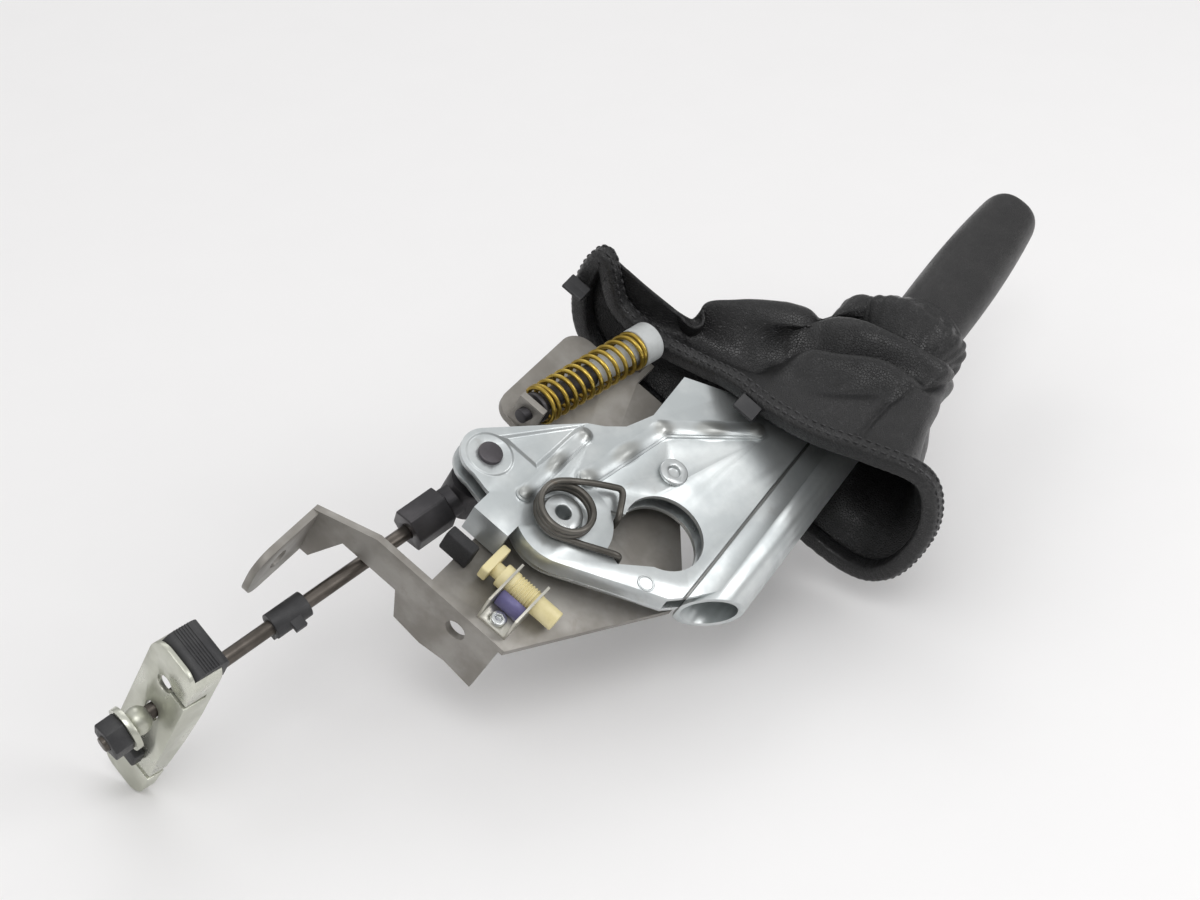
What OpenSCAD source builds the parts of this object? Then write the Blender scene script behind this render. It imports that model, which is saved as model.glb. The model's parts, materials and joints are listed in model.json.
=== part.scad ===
// Parking brake lever for a car, with its leather boot, pull rod and cable equalizer.
// The part is drawn in the lever's own axes: X runs forward to the grip, Y points down to the
// car floor, Z runs along the pivot towards the viewer, and the pivot is the zero point.
// lay() then turns it into the pose in which it lies on a bench, about the rear bolt hole.

/* [Lying pose] */
// Roll about the lever's length
lie_roll = 30; // [20:1:35]
// Pitch of the lever's length
lie_pitch = -5; // [-8:1:-3]

/* [Lever pressing] */
// Thickness of the lever's sheet
sheet = 2; // [1.8:0.1:2.2]
// Depth from the outer face to the inner wall
wall_depth = 8; // [7.6:0.1:8.2]
// Distance from the pivot to the cable pin
arm = 36.5; // [36:0.1:37]
// Radius of the corner round the cable pin
pin_corner_r = 12; // [11.5:0.1:12.5]
// Radius of the rounded end behind the pivot
tail_r = 20.3; // [20:0.1:20.5]
// Radius of the lightening hole
window_r = 17; // [15:0.5:17]
// Diameter of the handle tube
tube_d = 22; // [21.6:0.1:22.2]
// Length of the handle tube
tube_len = 312; // [300:1:320]
// Slope of the handle to the bracket
handle_slope = 2.6; // [2.2:0.1:3]
// Height of the pressed beads
bead_h = 1.8; // [1.2:0.1:2]
// Length of the wall that works the switch
tab_depth = 15; // [13:0.5:15]

/* [Grip and boot] */
// Length of the grip
grip_len = 100; // [90:1:102]
// Depth of the grip
grip_h = 33; // [32:0.5:35]
// Width of the grip
grip_w = 30; // [28:1:32]
// How far the button stands out
button_out = 7; // [6.5:0.5:9]
// Width of the boot frame's bars
frame_bar = 7; // [6:0.5:7]
// Depth of the boot frame
frame_t = 8; // [7:0.5:8]
// Swell of the leather towards the viewer
boot_swell = 6; // [2:1:9]

/* [Bracket] */
// Thickness of the bracket's steel
plate = 3; // [2.6:0.1:3.2]
// Depth from the lever's face to the bracket
bracket_depth = 17; // [17:0.1:17.4]
// Depth of the rear flange
flange_depth = 34; // [32:0.5:36]
// Diameter of the fixing holes, for M8 bolts
bolt_hole_d = 9; // [8.4:0.1:9.4]
// Length of the rear foot
foot_len = 38; // [35:1:40]

/* [Ratchet] */
// Radius over the teeth
ratchet_r = 40; // [39.8:0.1:40]
// Angle between teeth
tooth_pitch = 3.75; // [3.75]
// Number of clicks
clicks = 8; // [8]
// Thickness of the ratchet and the pawl
ratchet_t = 4.4; // [4:0.1:4.4]

/* [Linkage] */
// Diameter of the cable pin
cable_pin_d = 10; // [9.6:0.1:10.2]
// Depth of the pull rod's eye below the lever's face
eye_depth = 26; // [25.6:0.1:26.4]
// Dip of the pull rod
rod_dip = 14.1; // [13.5:0.1:14.5]
// Sideways angle of the pull rod
rod_yaw = 10.6; // [10:0.1:11]
// Diameter of the pull rod
rod_d = 6; // [5.6:0.1:6.2]
// Distance from the pin to the equalizer's ball
rod_len = 158; // [155:1:160]
// Length of the equalizer
equal_len = 96; // [92:1:100]
// Width of the equalizer
equal_w = 24; // [22:0.5:25]
// Distance between the two cables
cable_gap = 60; // [56:1:62]

/* [Springs] */
// Wire of the pawl spring
pawl_wire = 3; // [2.6:0.1:3]
// Mean radius of the pawl spring
pawl_coil_r = 11; // [10.8:0.1:11.2]
// Wire of the buffer spring
buffer_wire = 2; // [1.6:0.1:2]
// Outer radius of the buffer spring
buffer_r = 8.6; // [8.2:0.1:8.7]
// Turns of the buffer spring
buffer_turns = 11; // [9:1:12]

/* [Hidden] */
$fn = 64;
EASE = 0.05;
GAP = 0.3;
EPS = 0.01;

inner_z = -wall_depth - sheet;
bracket_z = -bracket_depth;
bracket_low = bracket_z - plate;
tube_r = tube_d / 2;
tube_start = [10, -67.5, -tube_r];
pawl_at = [53, -20];
pin_at = [0, arm];
window_at = [27, -33.6];
window_arc_r = 21.8;
tab_x = -22;
tab_y = 9;
tab_w = 17;
stud_r = 6;
stud_bore_r = 3.2;
bush_r = 9;
rivet_r = 4;
pin_r = cable_pin_d / 2;
rod_r = rod_d / 2;
eye_r = 9.5;
eye_h = 16;
nut_af = 16;
nut_r = nut_af / 2 / cos(30);
nut_start = 13;
nut_len = 18;
ball_r = 5.7;
washer_r = 9;
end_nut_af = 14;
end_nut_from = 6;
end_nut_len = 8;
clip_len = 16;
clip_from = rod_len - 77;
equal_drop = 6;
web_x = -6;
equal_depth = 14;
cable_slot = 3;
slot_reach = 10;
flange_x = -50;
flange_bottom = bracket_z - flange_depth;
foot_y = 70;
bolt_y = 1;
bolt_z = bracket_z - 11;
foot_bolt_x = flange_x - 22;
foot_bolt_z = bracket_z - 26;
bolt_at = [flange_x - plate, bolt_y, bolt_z];
switch_x = -32;
switch_z = -10;
switch_r = 5;
plunger_r = 3.5;
strut_from = [35, 39.4];
strut_to = [106, 26.4];
strut_z = bracket_z + buffer_r + 0.6;
strut_vec = strut_to - strut_from;
strut_len = norm(strut_vec);
strut_angle = atan2(strut_vec[1], strut_vec[0]);
tooth_root = ratchet_r - 2.2;
first_gap = -20;
pawl_tip = ratchet_r + GAP;
pawl_z = bracket_z + 0.5;
pawl_t = ratchet_t - 0.8;
grip_from = tube_len - grip_len + 2;
rim_steps = 54;
boot_steps = 6;
rim_points = [
    [110, 62, 10], [113, 46, -10], [114, 22, -12], [112, 3, -4], [107, -13, 7], [104, -32, 12],
    [102, -52, 20], [102, -74, 32], [103, -95, 40], [106, -107, 27], [108, -113, 5], [108, -111, -20],
    [108, -97, -33], [110, -60, -38], [110, -20, -40], [110, 22, -39], [111, 50, -34], [112, 63, -15]
];
push_offset = [2, -3.5];
push_r = 2.5;
push_from = 51.8;
button_r = tube_r - sheet - EASE;
pawl_face = tube_start[0] + push_from - GAP;
pawl_top = tube_start[1] + push_r;
pawl_end_h = 5;
buffer_core_r = 4.4;
buffer_core_end = 38;
sleeve_lap = 2;
sleeve_r = 5.4;
grip_shift = 1.5;

// Points on an arc about c, from angle a0 to a1.
function arc(c, r, a0, a1, n = 12) = [for (i = [0:n]) c + r * [cos(a0 + (a1 - a0) * i / n), sin(a0 + (a1 - a0) * i / n)]];

// Point at radius r on the ratchet's circle, at an angle that grows as the lever is pulled.
function on_ratchet(r, a) = [r * cos(a), -r * sin(a)];

module lay() {
    rotate([lie_roll, lie_pitch, 0]) translate(-bolt_at) children();
}

module slab(z0, z1) {
    translate([0, 0, z0]) linear_extrude(z1 - z0) children();
}

// Axes along the handle, from the tube's rear end.
module along_handle() {
    translate(tube_start) rotate([0, 0, handle_slope]) children();
}

// Axes along the pull rod, from the cable pin rearwards.
module along_rod() {
    translate([pin_at[0], pin_at[1], -eye_depth]) rotate([0, rod_dip, 180 - rod_yaw]) children();
}

// Axes at the ball on the rod's end, level with the lever, X pointing rearwards.
module at_ball() {
    along_rod() translate([rod_len, 0, 0]) rotate([0, -rod_dip, 0]) children();
}

// Axes along the buffer spring, from its rear seat forwards.
module along_strut() {
    translate([strut_from[0], strut_from[1], strut_z]) rotate([0, 0, strut_angle]) children();
}

// Round bar along X between two distances.
module bar(x0, x1, r) {
    translate([x0, 0, 0]) rotate([0, 90, 0]) cylinder(h = x1 - x0, r = r);
}

// Round bars through a list of points, with a ball at each.
module wire(points, r, ball_r) {
    for (i = [0:len(points) - 2]) {
        step = points[i + 1] - points[i];
        translate(points[i]) rotate([0, acos(step[2] / norm(step)), atan2(step[1], step[0])]) {
            cylinder(h = norm(step), r = r);
        }
    }
    for (p = points) translate(p) sphere(r = ball_r);
}

// Oval section of the grip and its collar.
module oval(w, h) {
    reach = (h - w) / 2;
    for (side = [-1, 1]) translate([0, side * reach]) circle(d = w);
    square([w, 2 * reach], center = true);
}

module lever_outline() {
    polygon(concat(
        arc(pin_at, pin_corner_r, 53, 185),
        [[-14, 27], [-14, 10]],
        arc([0, -2], tail_r, 143, 205),
        [[4, -52], [12, -58], [24, -65], [150, -59]],
        [[150, -47], [108, -16], [97, 4], [70, 2], [56, 6.5], [48.7, 12.7], [44, 18.5]]
    ));
}

// Round lightening hole with the slot that runs out round the pivot.
module lever_window() {
    translate(window_at) circle(r = window_r);
    polygon(concat([[0.5, -28.5]], arc([0, 0], window_arc_r, -82, -34, 8), [[22, -18.5], window_at, [11, -39.5]]));
}

module lever_holes() {
    lever_window();
    circle(r = bush_r);
    translate(pin_at) circle(r = pin_r);
    translate(pawl_at) circle(r = rivet_r);
}

// Turned-down edge behind the pivot, which closes the lever's rear.
module lever_rim() {
    polygon(concat(arc([0, -2], tail_r, 143, 205), [[4, -52], [5.7, -51]], arc([0, -2], tail_r - sheet, 205, 143)));
}

// Flat track of even width through a list of points.
module track(points, half_w) {
    for (p = points) translate(p) circle(r = half_w);
    for (i = [0:len(points) - 2]) {
        step = points[i + 1] - points[i];
        translate(points[i]) rotate(atan2(step[1], step[0])) {
            translate([0, EASE - half_w]) square([norm(step), 2 * (half_w - EASE)]);
        }
    }
}

// Raised bead through a list of points, pressed in two steps.
module bead(points, half_w) {
    slab(-sheet, 0.55 * bead_h) track(points, half_w);
    slab(-sheet, bead_h) track(points, half_w - bead_h / 2);
}

module mounting_bracket() {
    color("#7d7a76") {
        slab(bracket_low, bracket_z) difference() {
            polygon(concat(
                [[flange_x - plate, 19.5], [flange_x - plate, -19], [14, -55.5], [30, -50], [70, -20], [93, 5], [93, 18]],
                [[106, 18], [106, 35], [93, 35]],
                arc([84, 44], 9, 0, 90, 8),
                arc([42, 44], 9, 90, 180, 8),
                [[30, 19.5]]
            ));
            circle(r = stud_r);
            for (a = [-14, 8]) translate(on_ratchet(28, a)) circle(r = 2.5);
            translate([-45, -9]) circle(r = 1.5);
        }
        rear_flange();
        difference() {
            translate([strut_from[0] - 1.5, strut_from[1] - 6, bracket_z]) cube([3, 12, 15.5]);
            along_strut() bar(-10, 10, 3 + EASE);
        }
        difference() {
            translate([98, strut_to[1] - 6, bracket_z]) cube([6, 14, 4]);
            along_strut() bar(strut_len / 2, strut_len + 10, buffer_r + EASE);
        }
    }
}

// Wall across the bracket's rear with the neck that clears the pull rod, and the foot.
module rear_flange() {
    difference() {
        translate([flange_x, 0, 0]) rotate([0, -90, 0]) linear_extrude(plate) polygon([
            [bracket_low, -17], [bracket_z, -17], [bracket_z, 45], [bracket_z - 13, foot_y + plate],
            [flange_bottom - 6, foot_y + plate], [flange_bottom - 6, 66], [bracket_z - 17.5, 56], [bracket_z - 17.5, 29],
            [flange_bottom + 2, 24], [flange_bottom, 10], [flange_bottom + 2, -2], [flange_bottom, -16]
        ]);
        translate([bolt_at[0] - 1, bolt_y, bolt_z]) rotate([0, 90, 0]) cylinder(h = plate + 2, d = bolt_hole_d);
    }
    difference() {
        translate([flange_x - foot_len, foot_y + plate, flange_bottom - 6]) rotate([90, 0, 0]) linear_extrude(plate)
            polygon(concat(
                [[foot_len - plate, 0], [foot_len - plate, 27]],
                arc([10, 17], 10, 90, 180, 8),
                arc([10, 10], 10, 180, 270, 8)
            ));
        translate([foot_bolt_x, foot_y - 1, foot_bolt_z]) rotate([-90, 0, 0]) cylinder(h = plate + 2, d = bolt_hole_d);
    }
}

module pivot_stud() {
    color("#b9bcbe") difference() {
        union() {
            slab(bracket_low, GAP + EPS) circle(r = stud_r);
            slab(bracket_z, inner_z - sheet - GAP) circle(r = 10);
            slab(GAP, 3) circle(r = 8.2);
        }
        slab(bracket_low - 1, 4) circle(r = stud_bore_r);
    }
}

module ratchet_sector() {
    last_gap = first_gap + clicks * tooth_pitch;
    color("#6f6d6a") slab(bracket_z, bracket_z + ratchet_t) difference() {
        polygon(concat(
            [on_ratchet(ratchet_r, last_gap + 4), on_ratchet(20, last_gap + 4)],
            [for (i = [0:8]) on_ratchet(20, last_gap + 4 - (last_gap + 8 - first_gap) * i / 8)],
            [on_ratchet(ratchet_r, first_gap - 4)],
            [for (i = [0:clicks], e = [[ratchet_r, -1.35], [tooth_root, -0.35], [tooth_root, 0.35], [ratchet_r, 1.35]])
                on_ratchet(e[0], first_gap + i * tooth_pitch + e[1])]
        ));
        for (a = [-14, 8]) translate(on_ratchet(28, a)) circle(r = 2.5);
    }
}

module sector_rivets() {
    color("#8d8b88") for (a = [-14, 8]) translate(on_ratchet(28, a)) {
        slab(bracket_low - EPS, bracket_z + ratchet_t + EPS) circle(r = 2.5);
        slab(bracket_z + ratchet_t, bracket_z + ratchet_t + 1.2) circle(r = 4);
        slab(bracket_low - 1.5, bracket_low) circle(r = 4);
    }
}

module stop_buffer() {
    color("#232325") translate([-37.7, 14, bracket_z]) cube([tab_x - sheet - GAP + 37.7, 13, 11]);
}

module switch_clip() {
    color("#c9c7bd") difference() {
        union() {
            translate([-49, -16, bracket_z]) cube([22.5, 14, 1]);
            for (y = [-16, -3]) translate([-49, y, bracket_z]) cube([22.5, 1, 13.5]);
        }
        translate([switch_x, -20, switch_z]) rotate([-90, 0, 0]) cylinder(h = 30, r = switch_r + EASE);
        translate([-45, -9, bracket_z - 1]) cylinder(h = 3, r = 1.5);
    }
}

module switch_screw() {
    color("#d5d5d2") translate([-45, -9, 0]) difference() {
        union() {
            slab(bracket_low - 1, bracket_z + 1 + EPS) circle(r = 1.5);
            slab(bracket_z + 1, bracket_z + 3.2) circle(r = 3.2);
        }
        slab(bracket_z + 2, bracket_z + 4) circle(r = 1.5, $fn = 6);
    }
}

module switch_insulator() {
    color("#6e6aa6") difference() {
        translate([-41.5, -15, bracket_z + 1]) cube([6.5, 12, 9]);
        translate([switch_x, -20, switch_z]) rotate([-90, 0, 0]) cylinder(h = 30, r = switch_r + EASE);
    }
}

module switch_body() {
    color("#d9cc94") translate([switch_x, 0, switch_z]) rotate([-90, 0, 0]) difference() {
        union() {
            translate([0, 0, -26]) cylinder(h = 10, r = 4.2);
            translate([0, 0, -16 - EPS]) cylinder(h = 15, r = switch_r);
            for (z = [-14, -11.6, -9.2, -6.8]) translate([0, 0, z]) cylinder(h = 1.2, r = switch_r + EPS);
            translate([0, 0, -2]) cylinder(h = 3.6, r = switch_r);
        }
        translate([0, 0, -14]) cylinder(h = 20, r = plunger_r + EASE);
    }
}

module switch_plunger() {
    color("#d9cc94") translate([switch_x, 0, switch_z]) {
        rotate([-90, 0, 0]) translate([0, 0, -9]) cylinder(h = 15, r = plunger_r);
        translate([-6, 5, -3.5]) cube([15.5, tab_y - GAP - 5, 7]);
    }
}

module buffer_rod() {
    color("#4a494c") along_strut() {
        bar(-5, 6, 3);
        bar(3.2, 5.6, 6.4);
        bar(5, buffer_core_end, buffer_core_r);
    }
}

module buffer_sleeve() {
    color("#b9bcbc") along_strut() difference() {
        union() {
            bar(buffer_core_end - sleeve_lap, strut_len - 4, sleeve_r);
            bar(strut_len - 9, strut_len + 0.5, buffer_r);
        }
        bar(buffer_core_end - 8, buffer_core_end + 22, buffer_core_r + EASE);
    }
}

module buffer_spring() {
    first = 5.6 + buffer_wire / 2;
    last = strut_len - 9 - buffer_wire / 2;
    pitch = (last - first) / buffer_turns;
    color("#b9922c") along_strut() for (i = [0:buffer_turns]) translate([first + pitch * i, 0, 0]) rotate([0, 90, 0])
        rotate_extrude() translate([buffer_r - buffer_wire / 2, 0]) circle(d = buffer_wire, $fn = 24);
}

module lever_shell() {
    color("#c8cccd") {
        difference() {
            union() {
                slab(-sheet, 0) lever_outline();
                slab(-wall_depth, 0) lever_rim();
                slab(-4, 0) polygon([[7.2, 46.1], [6, 44.5], [42.8, 16.9], [44, 18.5]]);
                slab(-sheet, 0) translate([tab_x, tab_y]) square([-tab_x - 12, tab_w]);
                translate([tab_x - sheet, tab_y, -tab_depth]) cube([sheet, tab_w, tab_depth]);
                bead([[-4, 16], [38, 16]], 3.4);
                bead([[22, 3], [67, -4.5], [100, -33]], 4.2);
                difference() {
                    along_handle() bar(-tube_r, tube_len, tube_r);
                    tube_mouth();
                }
            }
            slab(-sheet - 1, bead_h + 1) lever_holes();
            along_handle() bar(-tube_d, tube_len + 1, tube_r - sheet);
            translate([46, -61, bracket_z - 0.2]) cube([26, 7, 5.4]);
        }
    }
}

// Slanting cut across the rear end of the tube, at half a right angle.
module tube_mouth() {
    translate([tube_start[0], tube_start[1] + tube_r, -tube_d - 1]) rotate([0, 0, 45])
        translate([-2 * tube_d, -3 * tube_d, 0]) cube([2 * tube_d, 4 * tube_d, tube_d + 2]);
}

module lever_inner_wall() {
    color("#c2c6c7") difference() {
        slab(inner_z, inner_z + sheet) difference() {
            lever_outline();
            lever_holes();
        }
        along_handle() bar(-20, tube_len, tube_r + EASE);
    }
}

module pivot_bush() {
    color("#a9aaa8") difference() {
        union() {
            slab(inner_z - sheet, 0) circle(r = bush_r);
            slab(inner_z - sheet, inner_z) circle(r = 12);
        }
        slab(inner_z - sheet - 1, 1) circle(r = stud_r + EASE);
    }
}

module pawl_spring() {
    r = pawl_wire / 2;
    pitch = pawl_wire + 0.1;
    top = r + 2 * pitch;
    color("#5d5b57") {
        for (i = [0:2]) translate([0, 0, r + GAP + i * pitch]) rotate_extrude()
            translate([pawl_coil_r, 0]) circle(r = r, $fn = 32);
        wire([[-5.4, -13, r + GAP], [2.9, -27.3, r + GAP], [2.9, -27.3, -3]], r - EASE, r);
        wire([[12.2, 9.2, top], [27, -10, 3.4], [18.6, -15.6, 2.4], [16.4, -17, -5]], r - EASE, r);
    }
}

module pawl_rivet() {
    color("#c4c5c4") translate([pawl_at[0], pawl_at[1], 0]) difference() {
        union() {
            slab(pawl_z - 0.3, EPS) circle(r = rivet_r);
            slab(pawl_z + pawl_t + 0.3, inner_z) circle(r = 6);
            slab(0, 2.2) circle(r = 6);
        }
        slab(0.4, 3) circle(r = 2.6);
    }
}

module cable_pin() {
    low = -eye_depth - eye_h / 2 - 4;
    color("#575457") translate([pin_at[0], pin_at[1], 0]) {
        slab(low, 1.6) circle(r = pin_r);
        slab(inner_z - 3, inner_z) circle(r = 8);
    }
}

module pin_clip() {
    low = -eye_depth - eye_h / 2 - 2.6;
    color("#8d8b88") translate([pin_at[0], pin_at[1], 0]) slab(low, low + 2) difference() {
        circle(r = pin_r + 2);
        circle(r = pin_r);
        translate([-1.5, 0]) square([3, 20]);
    }
}

module grip() {
    color("#454443") along_handle() difference() {
        translate([grip_from, 0, 0]) rotate([90, 0, 90]) linear_extrude(grip_len) {
            translate([grip_shift, 0]) rotate(90) oval(grip_w, grip_h);
        }
        bar(grip_from - 1, grip_from + grip_len + 1, tube_r + EPS);
    }
}

module boot_collar() {
    color("#39393a") along_handle() difference() {
        translate([grip_from - 10, 0, 0]) rotate([90, 0, 90]) linear_extrude(10) rotate(90) oval(grip_w + 4, grip_h + 4);
        bar(grip_from - 11, grip_from + 1, tube_r + EPS);
    }
}

// Point on the smooth closed curve through the rim's points, u counted in points.
function rim_at(u) =
    let (n = len(rim_points), i = floor(u), f = u - i,
        a = rim_points[(i + n - 1) % n], b = rim_points[i % n], c = rim_points[(i + 1) % n], d = rim_points[(i + 2) % n])
    b + f / 2 * (c - a + f * (2 * a - 5 * b + 4 * c - d + f * (3 * b - a - 3 * c + d)));

// Rim loop pulled in by inset, square to the curve, and moved along X.
function rim_loop(inset, dx) = [for (k = [0:rim_steps - 1])
    let (n = len(rim_points), u = k * n / rim_steps, p = rim_at(u), t = rim_at(u + 0.05) - rim_at(u + n - 0.05),
        m = norm([t[1], t[2]]))
    [p[0] + dx, p[1] - inset * t[2] / m, p[2] + inset * t[1] / m]];

// Oval round the handle, point by point opposite the rim loop.
function neck_loop(x, w, h) = [for (p = rim_loop(0, 0))
    let (a = atan2((p[2] - tube_start[2]) / w, (p[1] - neck_y(x)) / h))
    [x, neck_y(x) + h / 2 * cos(a), tube_start[2] + w / 2 * sin(a)]];

function neck_y(x) = tube_start[1] + (x - tube_start[0]) * tan(handle_slope);

// Rows of points from the rim to the neck, swelling by bulge half way.
function boot_rows(inset, x0, x1, shrink) = [for (j = [0:boot_steps])
    let (f = j / boot_steps, a = rim_loop(inset, x0), b = neck_loop(x1, grip_w + 8 - shrink, grip_h + 8 - shrink))
    [for (k = [0:rim_steps - 1]) let (g = pow(f, 0.6))
        [a[k][0] * (1 - f) + b[k][0] * f, a[k][1] * (1 - g) + b[k][1] * g,
            a[k][2] * (1 - g) + b[k][2] * g + boot_swell * sin(180 * f)]]];

// Solid through closed loops of points, joined last to first.
module ring_solid(loops) {
    n = len(loops[0]);
    m = len(loops);
    polyhedron(
        points = [for (loop = loops, p = loop) p],
        faces = [for (j = [0:m - 1], k = [0:n - 1], half = [0, 1])
            let (a = j * n + k, b = j * n + (k + 1) % n, c = ((j + 1) % m) * n + (k + 1) % n, d = ((j + 1) % m) * n + k)
            half == 0 ? [a, c, b] : [a, d, c]]
    );
}

module boot() {
    skin = 2.5;
    outer = boot_rows(1, frame_t / 2 + GAP, grip_from - 11 + tube_start[0], 0);
    inner = boot_rows(1 + skin, frame_t / 2 + GAP, grip_from - 11 + tube_start[0], 3);
    color("#3a3a3b") ring_solid(concat(outer, [for (j = [0:boot_steps]) inner[boot_steps - j]]));
}

module boot_frame() {
    half = frame_bar / 2;
    color("#2b2b2d") ring_solid([
        rim_loop(-half, -frame_t / 2), rim_loop(-half, frame_t / 2 - EPS),
        rim_loop(half, frame_t / 2 - EPS), rim_loop(half, -frame_t / 2)
    ]);
}

module boot_clips() {
    color("#232325") for (u = [4.6, 13, 17.2]) translate(rim_at(u) + [-frame_t / 2 - 7.75, -5, -3]) cube([7, 10, 6]);
}

module pawl() {
    tip = on_ratchet(pawl_tip, first_gap);
    u = on_ratchet(1, first_gap);
    t = [u[1], -u[0]];
    color("#66645f") slab(pawl_z, pawl_z + pawl_t) difference() {
        union() {
            polygon([
                tip - 0.15 * t, tip + 0.15 * t, tip + 2.2 * u + 0.75 * t, pawl_at + [-6, 3], pawl_at + [-3.5, -4],
                [pawl_face - 7.5, pawl_top + pawl_end_h], [pawl_face - 5.5, pawl_top], [pawl_face, pawl_top],
                [pawl_face - 0.5, pawl_top + pawl_end_h], pawl_at + [4, -4],
                pawl_at + [6, 3], tip + 9 * u - 3 * t, tip + 2.2 * u - 0.75 * t
            ]);
            translate(pawl_at) circle(r = 7);
        }
        translate(pawl_at) circle(r = rivet_r + EASE);
    }
}

module release_button() {
    color("#3d2a2c") along_handle() {
        bar(tube_len - 10, tube_len + button_out - 3, button_r);
        bar(tube_len + button_out - 3 - EPS, tube_len + button_out, button_r - 2);
    }
}

module push_rod() {
    color("#8d8b88") along_handle() translate([0, push_offset[0], push_offset[1]])
        bar(push_from, tube_len - 10, push_r);
}

module rod_eye() {
    color("#4a494c") difference() {
        union() {
            translate([pin_at[0], pin_at[1], -eye_depth - eye_h / 2]) cylinder(h = eye_h, r = eye_r);
            along_rod() bar(4, nut_start, 6.5);
        }
        translate([pin_at[0], pin_at[1], -50]) cylinder(h = 60, r = pin_r + EASE);
    }
}

module adjuster_nut() {
    color("#4a494c") along_rod() difference() {
        translate([nut_start, 0, 0]) rotate([0, 90, 0]) cylinder(h = nut_len, r = nut_r, $fn = 6);
        bar(nut_start + 4, nut_start + nut_len + 1, rod_r);
    }
}

module pull_rod() {
    color("#5f5a55") along_rod() bar(nut_start + 4, rod_len + end_nut_from + end_nut_len + 1.5, rod_r);
}

module ball_washer() {
    color("#c9cabf") along_rod() difference() {
        union() {
            translate([rod_len, 0, 0]) sphere(r = ball_r);
            bar(rod_len + end_nut_from - 2.5, rod_len + end_nut_from, washer_r);
        }
        bar(rod_len - 10, rod_len + 10, rod_r + EASE);
    }
}

module end_nut() {
    color("#2b2b2d") along_rod() difference() {
        translate([rod_len + end_nut_from, 0, 0]) rotate([0, 90, 0]) {
            cylinder(h = end_nut_len, r = end_nut_af / 2 / cos(30), $fn = 6);
        }
        bar(rod_len, rod_len + 20, rod_r + EASE);
    }
}

module rod_clip() {
    color("#2b2b2d") along_rod() difference() {
        union() {
            bar(clip_from, clip_from + clip_len, 5.4);
            translate([clip_from, -3, -8.5]) cube([clip_len, 6, 8.5]);
            translate([clip_from + 5, 3, 1]) cube([5, 5, 3]);
        }
        bar(clip_from - 1, clip_from + clip_len + 1, rod_r);
    }
}

module lock_wire() {
    color("#2b2b2d") along_rod() translate([0, 0, -7]) bar(clip_from + clip_len, rod_len - 26, 1.3);
}

module equalizer() {
    slot_r = rod_r + 0.5;
    slot_z = [0.4, 3.6];
    color("#c9cabf") at_ball() difference() {
        intersection() {
            translate([web_x - equal_depth, 0, -equal_drop]) rotate([90, 0, 90]) linear_extrude(equal_depth) {
                equalizer_outline();
            }
            equalizer_side();
        }
        translate([web_x - equal_depth - 1, sheet - equal_w / 2, -equal_len]) {
            cube([equal_depth + 1 - sheet, equal_w - 2 * sheet, 2 * equal_len]);
        }
        for (z = slot_z) translate([0, 0, z]) bar(web_x - sheet - 1, web_x + 1, slot_r);
        translate([web_x - sheet - 1, -slot_r, slot_z[0]]) cube([sheet + 2, 2 * slot_r, slot_z[1] - slot_z[0]]);
        for (side = [-1, 1]) translate([0, 0, side * cable_gap / 2 - equal_drop]) {
            bar(web_x - sheet - 1, web_x + 1, 4);
            translate([web_x - slot_reach, 0, -cable_slot / 2]) cube([slot_reach + 1, equal_w, cable_slot]);
        }
    }
}

// Face of the equalizer with its rounded ends.
module equalizer_outline() {
    r = equal_w / 3;
    w = equal_w / 2 - r;
    l = equal_len / 2 - r;
    for (x = [-w, w], y = [-l, l]) translate([x, y]) circle(r = r);
    square([2 * w, equal_len], center = true);
    square([equal_w, 2 * l], center = true);
}

// Side of the equalizer, whose flanges grow shallow towards the lower end.
module equalizer_side() {
    top = equal_len / 2 - equal_drop;
    low = -equal_len / 2 - equal_drop;
    deep = web_x - equal_depth;
    rotate([90, 0, 0]) translate([0, 0, -equal_w]) linear_extrude(2 * equal_w) polygon([
        [web_x + 1, low - 1], [web_x + 1, top + 1], [deep - 1, top + 1], [deep - 1, top - 30],
        [deep + 2, low + 38], [deep + 6, low + 18], [web_x - sheet - 2, low - 1]
    ]);
}

module equalizer_cap() {
    deep = equal_depth + 2;
    wide = equal_w - 2 * sheet - 2 * EASE;
    tall = 13;
    round_r = 4;
    color("#2b2b2d") at_ball() translate([web_x - sheet - deep, wide / 2, equal_len / 2 - equal_drop - tall]) {
        rotate([90, 0, 0]) linear_extrude(wide) {
            square([deep - GAP, tall - round_r]);
            for (x = [round_r, deep - GAP - round_r]) translate([x, tall - round_r]) circle(r = round_r);
            translate([round_r, 0]) square([deep - GAP - 2 * round_r, tall]);
            for (i = [0:5]) translate([round_r + 1 + i * 1.2, tall - 1]) square([0.6, 1.4]);
        }
    }
}

module cable_retainer() {
    color("#2b2b2d") at_ball() translate([web_x, -6, 5 - cable_gap / 2 - equal_drop]) cube([5, 12, 8]);
}

lay() mounting_bracket();
lay() pivot_stud();
lay() ratchet_sector();
lay() sector_rivets();
lay() stop_buffer();
lay() switch_clip();
lay() switch_screw();
lay() switch_insulator();
lay() switch_body();
lay() switch_plunger();
lay() buffer_rod();
lay() buffer_sleeve();
lay() buffer_spring();
lay() lever_shell();
lay() lever_inner_wall();
lay() pivot_bush();
lay() pawl_spring();
lay() pawl_rivet();
lay() cable_pin();
lay() pin_clip();
lay() grip();
lay() boot_collar();
lay() boot();
lay() boot_frame();
lay() boot_clips();
lay() pawl();
lay() release_button();
lay() push_rod();
lay() rod_eye();
lay() adjuster_nut();
lay() pull_rod();
lay() ball_washer();
lay() end_nut();
lay() rod_clip();
lay() lock_wire();
lay() equalizer();
lay() equalizer_cap();
lay() cable_retainer();
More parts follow.
